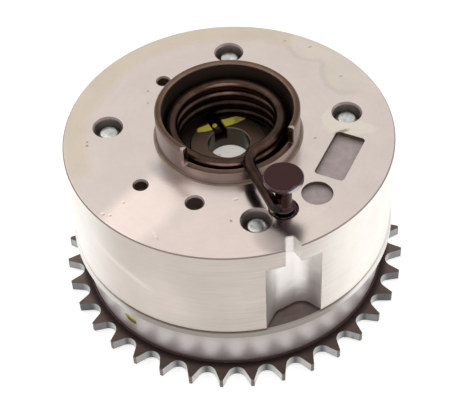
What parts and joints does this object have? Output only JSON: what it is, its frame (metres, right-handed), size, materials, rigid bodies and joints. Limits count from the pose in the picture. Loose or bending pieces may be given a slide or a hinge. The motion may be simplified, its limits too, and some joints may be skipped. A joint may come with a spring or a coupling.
{
  "type": "camshaft gear",
  "caption": "Camshaft timing gear: a chain sprocket bolted to an aluminium vane housing, whose rotor turns on the camshaft against a torsion spring.",
  "frame": {"origin": "on the gear's axis, in the sprocket's rear face", "axes": "+Z along the axis towards the front face with the spring cup; the anchor pin of the spring lies towards -Y and a little towards +X"},
  "size_m": [0.0952, 0.0952, 0.0586],
  "materials": {
    "housing_aluminium": "satin, turned",
    "sprocket_steel": "dark heat-treated steel with a bright turned band",
    "bolt_steel": "plated steel",
    "pin_steel": "dark phosphated steel",
    "lock_steel": "ground",
    "rotor_aluminium": "machined",
    "cup_steel": "dark steel, worn at the outside",
    "spring_steel": "oil-tempered wire",
    "seal_plastic": "moulded",
    "leaf_steel": "rolled strip"
  },
  "bodies": {
    "root": {"sprocket": "sprocket_steel", "housing": "housing_aluminium", "housing_bolts": "bolt_steel", "anchor_pin": "pin_steel", "lock_bush": "lock_steel", "lobe_seal_1": "seal_plastic", "lobe_seal_2": "seal_plastic", "lobe_seal_3": "seal_plastic", "lobe_seal_4": "seal_plastic", "lobe_seal_spring_1": "leaf_steel", "lobe_seal_spring_2": "leaf_steel", "lobe_seal_spring_3": "leaf_steel", "lobe_seal_spring_4": "leaf_steel"},
    "rotor": {"rotor": "rotor_aluminium", "spring_cup": "cup_steel", "torsion_spring": "spring_steel", "lock_spring": "spring_steel", "lock_cap": "lock_steel", "vane_seal_1": "seal_plastic", "vane_seal_2": "seal_plastic", "vane_seal_3": "seal_plastic", "vane_seal_4": "seal_plastic", "vane_seal_spring_1": "leaf_steel", "vane_seal_spring_2": "leaf_steel", "vane_seal_spring_3": "leaf_steel", "vane_seal_spring_4": "leaf_steel"},
    "lock_pin": {"lock_pin": "lock_steel"}
  },
  "joints": [
    {"name": "rotor_turn", "type": "hinge", "parent": "root", "child": "rotor", "pos_m": [0, 0, 0.03], "axis": [0, 0, 1], "range_deg": [-22.5, 0], "stiffness_Nm_per_rad": 0.6, "springref_deg": 57.3, "deforming": ["torsion_spring"]},
    {"name": "lock_pin_lift", "type": "slide", "parent": "rotor", "child": "lock_pin", "axis": [0, 0, 1], "range_m": [0, 0.0035], "stiffness_N_per_m": 300, "springref_m": -0.015, "deforming": ["lock_spring"]}
  ]
}
